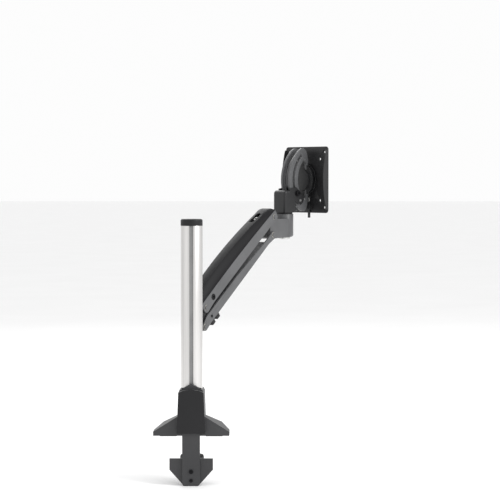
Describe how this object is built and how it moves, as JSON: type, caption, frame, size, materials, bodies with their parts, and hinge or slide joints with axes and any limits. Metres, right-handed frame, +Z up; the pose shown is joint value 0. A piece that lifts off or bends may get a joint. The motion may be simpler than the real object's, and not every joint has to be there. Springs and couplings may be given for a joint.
{
  "type": "monitor arm",
  "caption": "Desk-clamped monitor arm: slotted round column, height carriage, parallel-link lifting arm, panning and tilting head with a screen mounting plate.",
  "frame": {"origin": "on the column's axis, on the desk top under the base pads", "axes": "+Z up the column, +Y forward over the desk towards the user, +X to the right seen from behind the desk"},
  "size_m": [0.2985, 0.3952, 0.565],
  "materials": {
    "casting_paint": "fine matte powder coat",
    "black_plastic": "fine texture",
    "rubber": "matte",
    "aluminium_extrusion": "anodised satin",
    "link_grey": "satin grey paint",
    "cover_plastic": "satin moulded",
    "black_metal": "matte black",
    "steel": "turned steel",
    "black_steel": "black oxide",
    "bearing_plastic": "acetal"
  },
  "bodies": {
    "base": {"base_casting": "casting_paint", "base_rear_cover": "black_plastic", "column_collar": "casting_paint", "base_screws": "black_steel", "desk_pads": "rubber", "rear_strap": "casting_paint", "lower_jaw": "casting_paint", "jaw_bolts": "black_steel", "column": "aluminium_extrusion", "track_strip": "black_plastic", "column_cap": "black_plastic"},
    "clamp_press": {"clamp_pad": "black_metal", "clamp_rubber": "rubber"},
    "clamp_spindle": {"clamp_screw": "steel", "clamp_knob": "black_plastic"},
    "carriage": {"carriage_bracket": "black_metal", "track_nuts": "steel", "carriage_bolts": "black_steel", "swivel_pin": "steel", "thrust_washer": "bearing_plastic", "swivel_ring": "steel"},
    "shoulder": {"shoulder_bracket": "black_metal", "shoulder_pins": "link_grey", "crank_pin": "steel", "swivel_bushes": "bearing_plastic"},
    "upper_link": {"upper_channel": "link_grey", "upper_cover": "cover_plastic", "cover_screws": "black_steel", "upper_link_bushes": "bearing_plastic", "gas_cylinder": "black_steel", "gas_gland": "bearing_plastic", "cylinder_saddles": "black_metal", "tension_bracket": "black_metal"},
    "spring_slider": {"gas_rod": "steel", "spring_yoke": "steel"},
    "tension_block": {"tension_nut": "steel"},
    "tension_spindle": {"tension_screw": "steel"},
    "lower_link": {"lower_channel": "link_grey", "lower_link_bushes": "bearing_plastic", "link_rivets": "black_steel", "cable_clips": "black_plastic"},
    "wrist": {"wrist_bracket": "link_grey", "wrist_pins": "link_grey", "pan_bushes": "bearing_plastic"},
    "pan_head": {"head_post": "black_metal", "pan_spindle": "steel", "pan_washer": "black_plastic", "pan_ring": "steel", "friction_bolt": "black_steel", "friction_nut": "black_steel", "guide_pin": "steel", "tilt_washers": "black_steel"},
    "tilt_frame": {"tilt_arcs": "link_grey", "tilt_hub": "black_metal", "hub_bolt": "black_metal"},
    "faceplate": {"vesa_plate": "black_metal", "rotation_disc": "black_metal", "disc_screws": "black_steel", "latch_spring": "steel"},
    "latch": {"latch_tab": "black_metal"}
  },
  "joints": [
    {"name": "clamp_travel", "type": "slide", "parent": "base", "child": "clamp_press", "axis": [0, 0, 1], "range_m": [-0.01, 0.006]},
    {"name": "clamp_turn", "type": "hinge", "parent": "clamp_press", "child": "clamp_spindle", "pos_m": [0, 0.006, -0.06], "axis": [0, 0, 1], "range_deg": [-2401, 1441]},
    {"name": "height", "type": "slide", "parent": "base", "child": "carriage", "axis": [0, 0, 1], "range_m": [-0.055, 0.115]},
    {"name": "swivel", "type": "hinge", "parent": "carriage", "child": "shoulder", "pos_m": [0, 0.046, 0.18], "axis": [0, 0, 1], "range_deg": [-56, 124]},
    {"name": "lift", "type": "hinge", "parent": "shoulder", "child": "upper_link", "pos_m": [0.00839, 0.05844, 0.208], "axis": [0.829, -0.5592, 0], "range_deg": [-74, 6]},
    {"name": "lower_lift", "type": "hinge", "parent": "shoulder", "child": "lower_link", "pos_m": [0.00649, 0.05562, 0.176], "axis": [0.829, -0.5592, 0], "range_deg": [-74, 6]},
    {"name": "wrist_level", "type": "hinge", "parent": "upper_link", "child": "wrist", "pos_m": [0.12375, 0.22947, 0.35789], "axis": [0.829, -0.5592, 0], "range_deg": [-6, 74]},
    {"name": "spring_slide", "type": "slide", "parent": "upper_link", "child": "spring_slider", "axis": [0.4524, 0.6707, 0.5878], "range_m": [-0.00842, 0.00077]},
    {"name": "nut_travel", "type": "slide", "parent": "upper_link", "child": "tension_block", "axis": [-0.3287, -0.4873, 0.809], "range_m": [-0.0025, 0.0025]},
    {"name": "tension_turn", "type": "hinge", "parent": "upper_link", "child": "tension_spindle", "pos_m": [0.11063, 0.21002, 0.34084], "axis": [-0.3287, -0.4873, 0.809], "range_deg": [-901, 901]},
    {"name": "pan", "type": "hinge", "parent": "wrist", "child": "pan_head", "pos_m": [0.15562, 0.27672, 0.342], "axis": [0, 0, 1], "range_deg": [-73, 107]},
    {"name": "tilt", "type": "hinge", "parent": "pan_head", "child": "tilt_frame", "pos_m": [0.21329, 0.32309, 0.42399], "axis": [0.6266, -0.7793, 0], "range_deg": [-5, 65]},
    {"name": "rotate", "type": "hinge", "parent": "tilt_frame", "child": "faceplate", "pos_m": [0.19849, 0.31118, 0.42399], "axis": [0.7793, 0.6266, 0], "range_deg": [-90, 90]},
    {"name": "latch_push", "type": "slide", "parent": "faceplate", "child": "latch", "axis": [0, 0, 1], "range_m": [0, 0.004], "stiffness_N_per_m": 150, "springref_m": -0.004, "deforming": ["latch_spring"]}
  ],
  "couplings": [
    {"joint": "clamp_turn", "follows": "clamp_travel", "rad_per_m": 4188.8},
    {"joint": "lower_lift", "follows": "lift", "ratio": 1},
    {"joint": "wrist_level", "follows": "lift", "ratio": -1},
    {"joint": "spring_slide", "follows": "lift", "m_per_rad": 0.006441},
    {"joint": "tension_turn", "follows": "nut_travel", "rad_per_m": 6283.2}
  ]
}
